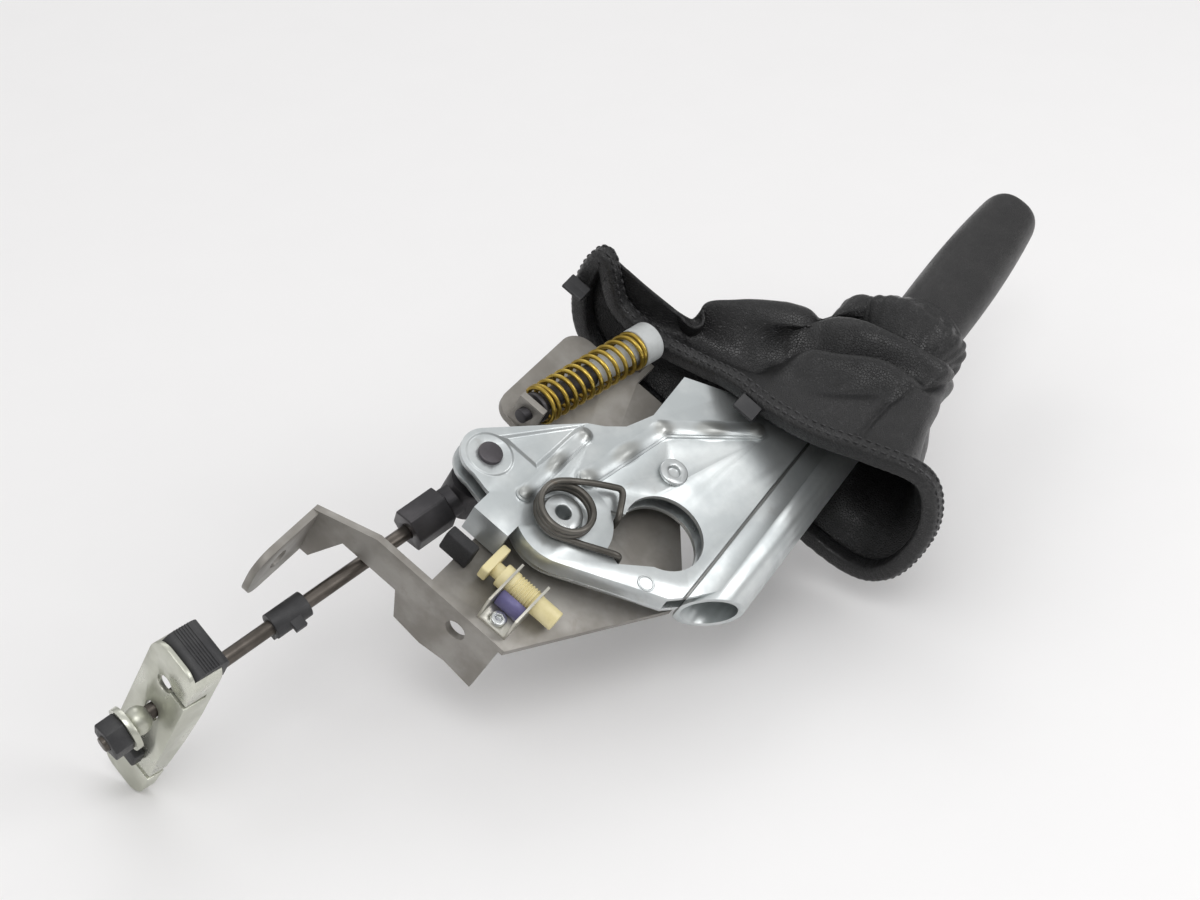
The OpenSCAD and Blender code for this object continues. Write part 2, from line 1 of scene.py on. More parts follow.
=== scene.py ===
import json
import bmesh
import bpy
import mathutils
import numpy as np
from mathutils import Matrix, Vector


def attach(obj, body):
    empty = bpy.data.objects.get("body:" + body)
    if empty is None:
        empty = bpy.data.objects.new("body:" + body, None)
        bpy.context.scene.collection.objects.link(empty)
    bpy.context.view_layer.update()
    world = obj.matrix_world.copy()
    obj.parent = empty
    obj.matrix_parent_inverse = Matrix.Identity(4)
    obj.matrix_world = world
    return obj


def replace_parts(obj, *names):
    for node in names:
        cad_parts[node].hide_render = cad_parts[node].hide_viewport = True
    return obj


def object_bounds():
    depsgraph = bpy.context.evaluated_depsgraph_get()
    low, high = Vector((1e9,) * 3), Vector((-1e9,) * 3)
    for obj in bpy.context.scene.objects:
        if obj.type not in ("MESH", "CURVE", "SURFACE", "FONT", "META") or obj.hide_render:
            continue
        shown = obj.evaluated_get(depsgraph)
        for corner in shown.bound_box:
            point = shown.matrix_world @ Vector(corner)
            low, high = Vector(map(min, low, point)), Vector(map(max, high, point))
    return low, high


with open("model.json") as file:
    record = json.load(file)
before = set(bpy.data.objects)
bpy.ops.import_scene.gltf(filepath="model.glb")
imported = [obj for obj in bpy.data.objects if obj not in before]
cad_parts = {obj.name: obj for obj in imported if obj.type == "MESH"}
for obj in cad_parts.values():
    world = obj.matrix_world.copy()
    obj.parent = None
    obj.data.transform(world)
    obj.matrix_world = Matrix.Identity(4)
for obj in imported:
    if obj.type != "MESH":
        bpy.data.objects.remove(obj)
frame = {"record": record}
CAD_BOX = [[float(v) for v in corner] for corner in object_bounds()]

# Bench pose. The part lies on its side on a bench, rolled about its length; every piece is worked out
# in the lever's own axes in millimetres (X to the grip, Y down in the car, Z along the pivot) and laid.
MM_PER_M = 1000
ROLL, PITCH = np.radians(30.0), np.radians(-5.0)
BOLT = np.array([-53.0, 1.0, -28.0])
PITCHED = np.array([[np.cos(PITCH), 0, np.sin(PITCH)], [0, 1, 0], [-np.sin(PITCH), 0, np.cos(PITCH)]])
ROLLED = np.array([[1, 0, 0], [0, np.cos(ROLL), -np.sin(ROLL)], [0, np.sin(ROLL), np.cos(ROLL)]])
LAID = PITCHED @ ROLLED
BODY_OF = {node: body for body, nodes in frame["record"]["behaviour"]["bodies"].items() for node in nodes}


def lay(points):
    """Lever axes in millimetres to the bench frame in metres: move to the bolt hole, then turn."""
    return (np.asarray(points, float) - BOLT) @ LAID.T / MM_PER_M


# Mounting bracket. Pressed 3 mm steel with a dull grey phosphate coat, bolted to the floor tunnel through
# its rear flange and foot. The pivot stud and the ratchet sector are riveted to it.
MERGE, FLAT, SHARP = 1.5e-5, np.radians(0.6), np.radians(32)  # points merged, facets joined, edges broken
SMOOTH = {"interpolation_type": "SMOOTHSTEP"}
COLOUR = {"data_type": "RGBA"}
COLOUR_A, COLOUR_B, COLOUR_OUT = 6, 7, 2  # sockets of a Mix node for colours
CLOUDS, GRAIN, PATCHES = 40.0, 900.0, 75.0  # in a metre: 25, 1.1 and 13 mm across
SCRATCHES = (60.0, 2500.0, 900.0)  # in a metre: 17 mm long, 0.4 mm apart


def paint(code):
    """Colour written as six hex digits to linear light, by the sRGB curve."""
    c = np.array([int(code[i:i + 2], 16) for i in (1, 3, 5)]) / 255
    return (*np.where(c <= 0.04045, c / 12.92, ((c + 0.055) / 1.055) ** 2.4), 1.0)


def add(tree, kind, inputs=(), out=0, **settings):
    """One shader node with its settings; its inputs, in order or by name, are values or outputs to link."""
    node = tree.nodes.new("ShaderNode" + kind)
    for name, value in settings.items():
        setattr(node, name, value)
    for name, value in inputs.items() if isinstance(inputs, dict) else enumerate(inputs):
        if isinstance(value, bpy.types.NodeSocket):
            tree.links.new(value, node.inputs[name])
        else:
            node.inputs[name].default_value = value
    return node.outputs[out]


def new_finish(name):
    """Empty material with its shader, and the place on the object that its patterns read."""
    material = bpy.data.materials.new(name)
    material.use_nodes = True
    tree = material.node_tree
    return material, tree, tree.nodes["Principled BSDF"], add(tree, "TexCoord", out="Object")


def plated(name, bright, dull, soil, rough, metal, soiling=0.5, grain=0.03):
    """Plated or coated sheet: plate in clouds, drawn scratches, soil in patches, and a grain drawn coarser than
    the real one so that it shows. The eye gets an uneven, soft shine that breaks up on the flats."""
    material, tree, shader, place = new_finish(name)
    cloud = add(tree, "TexNoise", {"Vector": place, "Scale": CLOUDS, "Detail": 4.0, "Roughness": 0.6})
    fine = add(tree, "TexNoise", {"Vector": place, "Scale": GRAIN, "Detail": 3.0})
    patch = add(tree, "TexNoise", {"Vector": place, "Scale": PATCHES, "Detail": 6.0, "Roughness": 0.7,
                                   "Distortion": 0.4})
    drawn = add(tree, "Mapping", {"Vector": place, "Rotation": (0.3, 0.2, 0.7), "Scale": SCRATCHES})
    scratch = add(tree, "TexNoise", {"Vector": drawn, "Scale": 1.0, "Detail": 2.0})
    bright_share = add(tree, "MapRange", (cloud, 0.35, 0.68), **SMOOTH)
    worn_share = add(tree, "MapRange", (scratch, 0.66, 0.8, 0.0, 0.35), **SMOOTH)
    soil_share = add(tree, "MapRange", (patch, 0.6, 0.8, 0.0, soiling), **SMOOTH)
    plate = add(tree, "Mix", {0: bright_share, COLOUR_A: paint(dull), COLOUR_B: paint(bright)}, COLOUR_OUT, **COLOUR)
    plate = add(tree, "Mix", {0: worn_share, COLOUR_A: plate, COLOUR_B: paint(dull)}, COLOUR_OUT, **COLOUR)
    plate = add(tree, "Mix", {0: soil_share, COLOUR_A: plate, COLOUR_B: paint(soil)}, COLOUR_OUT, **COLOUR)
    gloss = add(tree, "MapRange", (cloud, 0.3, 0.7, rough + 0.1, rough - 0.06), **SMOOTH)
    height = add(tree, "Math", (fine, scratch), operation="ADD")
    bump = add(tree, "Bump", {"Height": height, "Strength": 0.5, "Distance": grain / MM_PER_M})
    tree.links.new(plate, shader.inputs["Base Color"])
    tree.links.new(gloss, shader.inputs["Roughness"])
    tree.links.new(bump, shader.inputs["Normal"])
    shader.inputs["Metallic"].default_value = metal
    return material


def placed(name, mesh, material, body, smooth=True):
    """Object at the origin for a finished mesh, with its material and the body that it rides."""
    if smooth:
        mesh.shade_smooth()
    mesh.materials.clear()
    mesh.materials.append(material)
    piece = bpy.data.objects.new(name, mesh)
    bpy.context.collection.objects.link(piece)
    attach(piece, body)
    return piece


def dressed(node, material, edge):
    """Copy of a CAD node with its flats joined and its edges broken by a bevel of the given millimetres."""
    mesh = bpy.data.objects[node].data.copy()
    shape = bmesh.new()
    shape.from_mesh(mesh)
    bmesh.ops.remove_doubles(shape, verts=shape.verts, dist=MERGE)
    bmesh.ops.dissolve_limit(shape, angle_limit=FLAT, verts=shape.verts, edges=shape.edges)
    shape.to_mesh(mesh)
    shape.free()
    piece = placed(node + "_dressed", mesh, material, BODY_OF[node])
    bevel = piece.modifiers.new("broken edges", "BEVEL")
    bevel.width = edge / MM_PER_M
    bevel.segments = 2
    bevel.limit_method = "ANGLE"
    bevel.angle_limit = SHARP
    bevel.use_clamp_overlap = True
    bevel.harden_normals = True
    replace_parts(piece, node)


phosphate = plated("bracket_phosphate", "#9b9893", "#86827c", "#6c6258", 0.48, 0.6, 0.5, 0.05)
turned_steel = plated("turned_steel", "#9b9996", "#7d7a77", "#574f46", 0.34, 0.9, 0.4)
bright_zinc = plated("bright_zinc", "#d2d5d5", "#b4b8b9", "#8d877a", 0.3, 0.9, 0.35)
dressed("mounting_bracket", phosphate, 0.7)
dressed("ratchet_sector", turned_steel, 0.2)
dressed("sector_rivets", turned_steel, 0.5)
dressed("pivot_stud", bright_zinc, 0.6)

# Brake lamp switch. A cream moulded plunger switch held by a folded steel clip with one screw; a blue
# insulator carries its contact. The lever's bent wall presses the plunger.
SWITCH_X, SWITCH_Z, SWITCH_R, TAIL_R, STEM_R, BORE_R = -32.0, -10.0, 5.0, 4.2, 3.2, 3.45
TAIL_Y, COLLAR_Y, MOUTH_Y, BORE_Y = -26.0, -16.2, 1.6, -14.0
RIB_FROM, RIB_TO, RIB_PITCH, RIB_DEEP = -15.6, -4.4, 1.3, 0.3
SPACER_X, SPACER_Z, SPACER_HALF_X, SPACER_HALF_Z = -39.0, -12.0, 2.5, 4.0
HEAD_X, HEAD_LONG, HEAD_WIDE = -30.25, 15.5, 7.0
POLE, ROUND, SOFT, BOXY = 0.02, 1.0, 0.8, 0.22
FLOW_CLOUDS, SPARK_GRAIN = 60.0, 2400.0  # in a metre: 17 and 0.4 mm across


def moulded(name, colour, worn, rough, grain=0.05):
    """Moulded plastic or rubber: spark-eroded grain, faint flow clouds and dust, for an even, satin shine."""
    material, tree, shader, place = new_finish(name)
    cloud = add(tree, "TexNoise", {"Vector": place, "Scale": FLOW_CLOUDS, "Detail": 5.0, "Roughness": 0.65})
    fine = add(tree, "TexNoise", {"Vector": place, "Scale": SPARK_GRAIN, "Detail": 2.0})
    worn_share = add(tree, "MapRange", (cloud, 0.42, 0.72), **SMOOTH)
    shade = add(tree, "Mix", {0: worn_share, COLOUR_A: paint(colour), COLOUR_B: paint(worn)}, COLOUR_OUT, **COLOUR)
    gloss = add(tree, "MapRange", (fine, 0.2, 0.8, rough - 0.08, rough + 0.1), **SMOOTH)
    bump = add(tree, "Bump", {"Height": fine, "Strength": 0.5, "Distance": grain / MM_PER_M})
    tree.links.new(shade, shader.inputs["Base Color"])
    tree.links.new(gloss, shader.inputs["Roughness"])
    tree.links.new(bump, shader.inputs["Normal"])
    return material


def surface(name, grid, material, body, along=False):
    """Piece from a grid of points in lever millimetres: each cell is one face, joined round its columns and,
    where asked, from its last row to its first."""
    rows, cols = grid.shape[:2]
    index = np.arange(rows * cols).reshape(rows, cols)
    index = np.concatenate([index, index[:, :1]], 1)
    index = np.concatenate([index, index[:1]], 0) if along else index
    quads = np.stack([index[:-1, :-1], index[:-1, 1:], index[1:, 1:], index[1:, :-1]], -1).reshape(-1, 4)
    mesh = bpy.data.meshes.new(name)
    mesh.vertices.add(rows * cols)
    mesh.vertices.foreach_set("co", lay(grid.reshape(-1, 3)).ravel())
    mesh.loops.add(quads.size)
    mesh.loops.foreach_set("vertex_index", quads.ravel())
    mesh.polygons.add(len(quads))
    mesh.polygons.foreach_set("loop_start", np.arange(0, quads.size, 4))
    mesh.update(calc_edges=True)
    return placed(name, mesh, material, body)


def outward(piece):
    """Close a piece's end rings and turn its faces outwards."""
    shape = bmesh.new()
    shape.from_mesh(piece.data)
    bmesh.ops.holes_fill(shape, edges=shape.edges, sides=0)
    bmesh.ops.recalc_face_normals(shape, faces=shape.faces)
    shape.to_mesh(piece.data)
    shape.free()
    return piece


def rounded(angle, power):
    """Outline between a circle (power 1) and a square (power 0): cosine and sine raised to the power, signs kept."""
    cos, sin = np.cos(angle), np.sin(angle)
    return np.sign(cos) * np.abs(cos) ** power, np.sign(sin) * np.abs(sin) ** power


def upright(x, z, y, share, half_x, half_z, power):
    """Piece that stands along Y: rows at heights y, each a rounded outline of the half widths times its share."""
    across, deep = rounded(np.linspace(0, 2 * np.pi, 64, endpoint=False), power)
    y, share = np.array(y)[:, None], np.array(share)[:, None]
    return np.stack(np.broadcast_arrays(x + half_x * share * across, y, z + half_z * share * deep), -1)


cream = moulded("cream_moulding", "#e2d6a6", "#d0c28c", 0.38)
blue = moulded("blue_moulding", "#736f9e", "#615d88", 0.4)
dressed("switch_clip", plated("clip_zinc", "#cfcdc4", "#b5b2a6", "#7d7564", 0.36, 0.8), 0.25)
dressed("switch_screw", bright_zinc, 0.3)
rib_y = np.linspace(RIB_FROM, RIB_TO, 72)
rib_r = SWITCH_R - RIB_DEEP * (1 + np.cos(2 * np.pi * rib_y / RIB_PITCH))
barrel_y = np.concatenate([[TAIL_Y, TAIL_Y, TAIL_Y + 0.4, COLLAR_Y, COLLAR_Y + 0.3], rib_y,
                           [RIB_TO + 0.2, MOUTH_Y - 0.4, MOUTH_Y, MOUTH_Y, BORE_Y, BORE_Y]])
barrel_r = np.concatenate([[0.1, TAIL_R - 0.3, TAIL_R, TAIL_R, TAIL_R + 0.4], rib_r,
                           [SWITCH_R, SWITCH_R, SWITCH_R - 0.3, BORE_R, BORE_R, 0.1]])
barrel = upright(SWITCH_X, SWITCH_Z, barrel_y, barrel_r / SWITCH_R, SWITCH_R, SWITCH_R, ROUND)
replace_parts(outward(surface("switch_barrel", barrel, cream, "bracket")), "switch_body")
spacer = upright(SPACER_X, SPACER_Z, [-14.8, -14.8, -14.2, -3.8, -3.2, -3.2], [POLE, 0.8, 1.0, 1.0, 0.8, POLE],
                 SPACER_HALF_X, SPACER_HALF_Z, SOFT)
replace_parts(outward(surface("switch_spacer", spacer, blue, "bracket")), "switch_insulator")
stem = upright(SWITCH_X, SWITCH_Z, [-9.0, -9.0, -8.6, 5.3], [0.1, 0.88, 1.0, 1.0], STEM_R, STEM_R, ROUND)
head = upright(HEAD_X, SWITCH_Z, [5.0, 5.0, 5.4, 8.2, 8.65, 8.65], [POLE, 0.95, 1.0, 1.0, 0.95, POLE],
               HEAD_LONG / 2, HEAD_WIDE / 2, BOXY)
for name, grid in (("plunger_stem", stem), ("plunger_head", head)):
    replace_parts(outward(surface(name, grid, cream, "plunger")), "switch_plunger")

# Black block in the place of the stop buffer, on the bracket's edge beside the lever's bent wall: a dark moulded
# piece where the part lies in deep shade, as painted shade. It is plain, with small round corners, and has no fixing
# of its own.
SHADE_BLOCK_X, SHADE_BLOCK_Z, SHADE_BLOCK_HALF_X, SHADE_BLOCK_HALF_Z, SHADE_BLOCK_CORNER = -34.4, -11.5, 2.75, 5.5, 0.25
# Painted shade: a near-black block standing in for the deep shade beside the bent wall.
shade_black = moulded("painted_shade_black", "#1d1d1f", "#2c2b2d", 0.62, 0.12)
shade_block = upright(SHADE_BLOCK_X, SHADE_BLOCK_Z, [14.0, 14.0, 14.5, 26.5, 27.0, 27.0], [POLE, 0.9, 1.0, 1.0, 0.9, POLE],
                 SHADE_BLOCK_HALF_X, SHADE_BLOCK_HALF_Z, SHADE_BLOCK_CORNER)
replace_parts(outward(surface("painted_shade_block", shade_block, shade_black, "bracket")), "stop_buffer")

# Return buffer. A gold chromated spring round a steel rod and a grey plastic sleeve, held between a lug and a
# cradle of the bracket.
STRUT_FROM = np.array([35.0, 39.4, -7.8])
STRUT_TO = np.array([106.0, 26.4, -7.8])
STRUT_LEN = np.linalg.norm(STRUT_TO - STRUT_FROM)
STRUT_X = (STRUT_TO - STRUT_FROM) / STRUT_LEN
UP = np.array([0.0, 0.0, 1.0])
STRUT_Y = np.cross(UP, STRUT_X)
GOLD_R, GOLD_WIRE, GOLD_TURNS, CLOSED_TURNS = 7.6, 1.0, 11.0, 0.8
GOLD_FROM, GOLD_TO = 6.7, STRUT_LEN - 10.1
EVEN = 25  # steps of the spring over which its pitch changes


def wire_grid(path, radius, sides, side=(0.5, 0.0, 0.866)):
    """Round wire: a circle square to the path, started from one fixed side, with both ends drawn to a point."""
    t = np.gradient(path, axis=0)
    t /= np.linalg.norm(t, axis=1, keepdims=True)
    n = np.asarray(side) - (t @ np.asarray(side))[:, None] * t
    n /= np.linalg.norm(n, axis=1, keepdims=True)
    b = np.cross(t, n)
    a = np.linspace(0, 2 * np.pi, sides, endpoint=False)
    ring = np.cos(a)[None, :, None] * n[:, None] + np.sin(a)[None, :, None] * b[:, None]
    nose = [path[0] - t[0] * radius * 0.5 + POLE * ring[0], path[0] - t[0] * radius * 0.35 + 0.7 * radius * ring[0]]
    tail = [path[-1] + t[-1] * radius * 0.35 + 0.7 * radius * ring[-1],
            path[-1] + t[-1] * radius * 0.5 + POLE * ring[-1]]
    return np.concatenate([np.stack(nose), path[:, None] + radius * ring, np.stack(tail)])


turns = np.linspace(0, 1, 620) * (GOLD_TURNS + 2 * CLOSED_TURNS)
rise = GOLD_FROM + (GOLD_TO - GOLD_FROM) * np.clip((turns - CLOSED_TURNS) / GOLD_TURNS, 0, 1)
rise = np.convolve(np.pad(rise, EVEN // 2, mode="edge"), np.ones(EVEN) / EVEN, mode="valid")
angle = 2 * np.pi * turns
coil = (STRUT_FROM + rise[:, None] * STRUT_X
        + GOLD_R * (np.cos(angle)[:, None] * STRUT_Y + np.sin(angle)[:, None] * UP))
gold = plated("gold_chromate", "#c2a852", "#9c8238", "#565040", 0.3, 0.9, 0.5)
black_oxide = plated("black_oxide", "#504e50", "#3d3c3e", "#5c5045", 0.42, 0.75, 0.45)
gold_wire = wire_grid(coil, GOLD_WIRE, 12, (0.98, 0.15, 0.1))
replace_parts(outward(surface("buffer_spring_coil", gold_wire, gold, "bracket")), "buffer_spring")
dressed("buffer_rod", black_oxide, 0.4)
dressed("buffer_sleeve", moulded("grey_moulding", "#bcbfbf", "#a3a5a4", 0.5), 0.6)

# Lever. Two pressed and zinc plated steel walls and a handle tube, welded together; the outer wall has
# stiffening beads, a raised seat round the cable pin, a three-cornered pocket and a stamped ring.
BEAD_HIGH, SEAT_HIGH, POCKET_DEEP, STAMP_DEEP, SEAM_DEEP = 1.9, 0.7, 1.4, 0.35, 0.7
LOW_BEAD = (-4, 16, 38, 16, 4.6)
HIGH_BEAD, HIGH_BEAD_END = (22, 3, 67, -4.5, 5.6), (67, -4.5, 100, -33, 5.6)
PIN_AT, STAMP_AT, STAMP_R = (0.0, 36.5), (2.5, -41.6), 3.2
POCKET = ((11, 21), (39, 20), (11, 37))
TUBE_SEAM = (10.6, -56.6, 150.0, -50.8)


def lever_zinc(name):
    """Zinc plate as on the small parts, with the pressing's low relief raised by distances in lever millimetres. The
    beads are darkened towards their crowns, and the tube's seam groove is darkened as painted shade, which makes the
    relief show."""
    material = plated(name, "#d3d7d7", "#bcc1c2", "#9a958a", 0.34, 0.8, 0.42)
    tree = material.node_tree
    shader = tree.nodes["Principled BSDF"]
    place = tree.nodes["Texture Coordinate"].outputs["Object"]
    unrolled = mathutils.Matrix(LAID.T.tolist()).to_euler("XYZ")
    flat = add(tree, "Mapping", {"Vector": place, "Location": tuple(BOLT), "Rotation": tuple(unrolled),
                                 "Scale": (MM_PER_M, MM_PER_M, MM_PER_M)})
    xy = add(tree, "VectorMath", (flat, (1.0, 1.0, 0.0)), operation="MULTIPLY")

    def reach(x, y):
        """Distance from a point of the wall."""
        return add(tree, "VectorMath", (xy, (x, y, 0.0)), "Value", operation="DISTANCE")

    def beyond(x0, y0, x1, y1):
        """Signed distance from the line through two points."""
        n = np.array([y1 - y0, x0 - x1]) / np.hypot(x1 - x0, y1 - y0)
        off = add(tree, "VectorMath", (xy, (n[0], n[1], 0.0)), "Value", operation="DOT_PRODUCT")
        return add(tree, "Math", (off, float(n @ [x0, y0])), operation="SUBTRACT")

    def crown(x0, y0, x1, y1, half):
        """Rounded back of a bead between two points, by distance from the line that joins them."""
        run = np.array([x1 - x0, y1 - y0])
        unit = run / (run @ run)
        off = add(tree, "VectorMath", (xy, (x0, y0, 0.0)), operation="SUBTRACT")
        share = add(tree, "VectorMath", (off, (unit[0], unit[1], 0.0)), "Value", operation="DOT_PRODUCT")
        share = add(tree, "MapRange", (share, 0.0, 1.0), **SMOOTH)
        foot = add(tree, "VectorMath", {0: (run[0], run[1], 0.0), "Scale": share}, operation="SCALE")
        away = add(tree, "VectorMath", (off, foot), "Value", operation="DISTANCE")
        return add(tree, "MapRange", (away, half, 0.0, 0.0, BEAD_HIGH), **SMOOTH)

    beads = add(tree, "Math", (crown(*HIGH_BEAD), crown(*HIGH_BEAD_END)), operation="MAXIMUM")
    beads = add(tree, "Math", (crown(*LOW_BEAD), beads), operation="ADD")
    seat = add(tree, "MapRange", (reach(*PIN_AT), 10.2, 8.8, 0.0, SEAT_HIGH), **SMOOTH)
    sides = [beyond(*POCKET[k], *POCKET[(k + 1) % 3]) for k in range(3)]
    pocket = add(tree, "Math", (sides[0], sides[1]), operation="MAXIMUM")
    pocket = add(tree, "Math", (pocket, sides[2]), operation="MAXIMUM")
    pocket = add(tree, "MapRange", (pocket, 1.6, -0.8, 0.0, -POCKET_DEEP), **SMOOTH)
    stamp = add(tree, "Math", (reach(*STAMP_AT), STAMP_R), operation="SUBTRACT")
    stamp = add(tree, "Math", (stamp,), operation="ABSOLUTE")
    stamp = add(tree, "MapRange", (stamp, 0.5, 0.1, 0.0, -STAMP_DEEP), **SMOOTH)
    seam = add(tree, "Math", (beyond(*TUBE_SEAM),), operation="ABSOLUTE")
    seam = add(tree, "MapRange", (seam, 0.9, 0.25, 0.0, -SEAM_DEEP), **SMOOTH)
    relief = beads
    for form in (seat, pocket, stamp, seam):
        relief = add(tree, "Math", (relief, form), operation="ADD")
    under = shader.inputs["Normal"].links[0].from_socket
    bump = add(tree, "Bump", {"Height": relief, "Strength": 1.0, "Distance": 1 / MM_PER_M, "Normal": under})
    # The beads are darkened towards their crowns, to a brownish grey.
    on_bead = add(tree, "MapRange", (beads, 0.1, 1.2, 0.0, 0.4), **SMOOTH)
    # Painted shade: the seam groove is darkened to a deep grey.
    seam_shade_share = add(tree, "MapRange", (seam, -0.15, -0.6, 0.0, 0.8), **SMOOTH)
    plate = shader.inputs["Base Color"].links[0].from_socket
    plate = add(tree, "Mix", {0: on_bead, COLOUR_A: plate, COLOUR_B: paint("#8d897e")}, COLOUR_OUT, **COLOUR)
    plate = add(tree, "Mix", {0: seam_shade_share, COLOUR_A: plate, COLOUR_B: paint("#4c4944")}, COLOUR_OUT, **COLOUR)
    tree.links.new(bump, shader.inputs["Normal"])
    tree.links.new(plate, shader.inputs["Base Color"])
    return material


dressed("lever_shell", lever_zinc("lever_zinc"), 0.55)
dressed("lever_inner_wall", bright_zinc, 0.5)
dressed("pivot_bush", bright_zinc, 0.4)
dressed("pawl_rivet", bright_zinc, 0.6)

# Pawl spring. Oiled 2.7 mm spring wire wound round the pivot; one leg hooks in the end of the window's slot,
# the other reaches over the lever and hooks back behind the slot's notch.
COIL_R, COIL_WIRE = 11.0, 1.35
COIL_LOW, COIL_HIGH, COIL_STEPS = 1.9, 8.0, 220
COIL_START, COIL_END = 195, 54.6 - 2 * 360
LEG_IN = [[2.9, -27.3, -4.5], [2.9, -27.3, -1.0], [2.4, -26.5, 1.3], [0.2, -22.7, 1.8], [-5.2, -13.3, 1.8],
          [-9.3, -5.6, 1.85]]
LEG_OUT = [[9.6, 6.3, 8.0], [17.0, -0.5, 6.8], [24.5, -7.4, 4.4], [26.6, -9.9, 3.4], [25.2, -12.0, 3.0],
           [19.8, -14.9, 2.5], [17.4, -16.4, 1.2], [16.7, -16.9, -1.0], [16.5, -17.0, -4.5]]


def cubic(a, b, c, d, f):
    """Catmull-Rom cubic from b to c, at the share f of the way, with its neighbours a and d."""
    return b + f / 2 * (c - a + f * (2 * a - 5 * b + 4 * c - d + f * (3 * b - a - 3 * c + d)))


def through(points, count):
    """Smooth curve through points: a cubic on each stretch, sampled evenly by stretch."""
    p = np.asarray(points, float)
    p = np.concatenate([2 * p[:1] - p[1:2], p, 2 * p[-1:] - p[-2:-1]])
    u = np.linspace(0, len(p) - 3 - 1e-9, count)
    i = u.astype(int)
    return cubic(p[i], p[i + 1], p[i + 2], p[i + 3], (u - i)[:, None])


wind = np.radians(np.linspace(COIL_START, COIL_END, COIL_STEPS))
winding = np.stack([COIL_R * np.cos(wind), COIL_R * np.sin(wind), np.linspace(COIL_LOW, COIL_HIGH, COIL_STEPS)], 1)
spring_steel = plated("oiled_spring_steel", "#6f6c67", "#55524d", "#6a5237", 0.36, 0.85, 0.6)
spring_wire = wire_grid(np.concatenate([through(LEG_IN, 46), winding, through(LEG_OUT, 80)]), COIL_WIRE, 16)
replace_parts(outward(surface("pawl_spring_coil", spring_wire, spring_steel, "lever")), "pawl_spring")

# Pawl and cable pin. The hardened pawl swings between the walls on its rivet; the blackened pin through the
# lever's corner carries the pull rod's eye and is kept by a spring clip.
dressed("pawl", turned_steel, 0.12)
dressed("cable_pin", plated("blackened_pin", "#5d5a5d", "#4a474a", "#6a5a4a", 0.4, 0.8, 0.4), 0.5)
dressed("pin_clip", turned_steel, 0.25)

# Grip. A moulded core under black leather, sewn along the underside, pushed on the tube; the release button
# stands out of its front end and works the pawl through a push rod.
HANDLE_TILT = np.radians(2.6)
HANDLE_FROM = np.array([10.0, -67.5, -11.0])
HANDLE_X = np.array([np.cos(HANDLE_TILT), np.sin(HANDLE_TILT), 0.0])
HANDLE_Y = np.array([-HANDLE_X[1], HANDLE_X[0], 0.0])
GRIP_FROM, GRIP_TO, GRIP_NOSE, GRIP_MOUTH_R, GRIP_BUTTON_R = 206.0, 314.0, 7, 11.1, 9.15
GRIP_HALF_W, GRIP_SWELL_W, GRIP_TAPER_W = 14.6, 0.9, 0.8
GRIP_HALF_H, GRIP_SWELL_H, GRIP_TAPER_H = 16.4, 0.8, 3.0
GRIP_CORNER, GROOVE_WIDE, GROOVE_DEEP = 0.86, 0.045, 0.045
HIDE_WAVES, HIDE_CLOUDS, HIDE_PORES, HIDE_BEND = 120.0, 45.0, 3000.0, 0.0012  # in a metre: 8, 22 and 0.3 mm


def leather(name, colour, worn, cell=1.1, depth=0.16):
    """Grained leather: pebbles of the given millimetres bounded by fine creases, which are darkened as painted
    shade, and worn paler patches, for a soft shine that is broken by the grain. The pebbles are drawn a little
    coarse so that they show."""
    material, tree, shader, place = new_finish(name)
    bent = add(tree, "TexNoise", {"Vector": place, "Scale": HIDE_WAVES, "Detail": 3.0}, "Color")
    shift = add(tree, "VectorMath", (bent, (HIDE_BEND, HIDE_BEND, HIDE_BEND)), operation="MULTIPLY")
    moved = add(tree, "VectorMath", (place, shift), operation="ADD")
    pebble = add(tree, "TexVoronoi", {"Vector": moved, "Scale": MM_PER_M / cell}, "Distance",
                 feature="DISTANCE_TO_EDGE")
    crease = add(tree, "MapRange", (pebble, 0.0, 0.16), **SMOOTH)
    cloud = add(tree, "TexNoise", {"Vector": place, "Scale": HIDE_CLOUDS, "Detail": 6.0, "Roughness": 0.65})
    pore = add(tree, "TexNoise", {"Vector": place, "Scale": HIDE_PORES, "Detail": 2.0})
    worn_share = add(tree, "MapRange", (cloud, 0.38, 0.72), **SMOOTH)
    # Painted shade: the creases between the pebbles are darkened towards near black.
    crease_shade_share = add(tree, "MapRange", (crease, 0.6, 0.0, 0.0, 0.45), **SMOOTH)
    hide = add(tree, "Mix", {0: worn_share, COLOUR_A: paint(colour), COLOUR_B: paint(worn)}, COLOUR_OUT, **COLOUR)
    hide = add(tree, "Mix", {0: crease_shade_share, COLOUR_A: hide, COLOUR_B: paint("#101011")}, COLOUR_OUT, **COLOUR)
    gloss = add(tree, "MapRange", (cloud, 0.3, 0.75, 0.42, 0.28), **SMOOTH)
    height = add(tree, "Math", (pore, 0.25, crease), operation="MULTIPLY_ADD")
    bump = add(tree, "Bump", {"Height": height, "Strength": 0.9, "Distance": depth / MM_PER_M})
    tree.links.new(hide, shader.inputs["Base Color"])
    tree.links.new(gloss, shader.inputs["Roughness"])
    tree.links.new(bump, shader.inputs["Normal"])
    return material


def along_handle(x, y, z):
    """Points at a distance along the handle tube and off it sideways."""
    x, y, z = (np.asarray(v, float)[..., None] for v in (x, y, z))
    return HANDLE_FROM + x * HANDLE_X + y * HANDLE_Y + z * UP


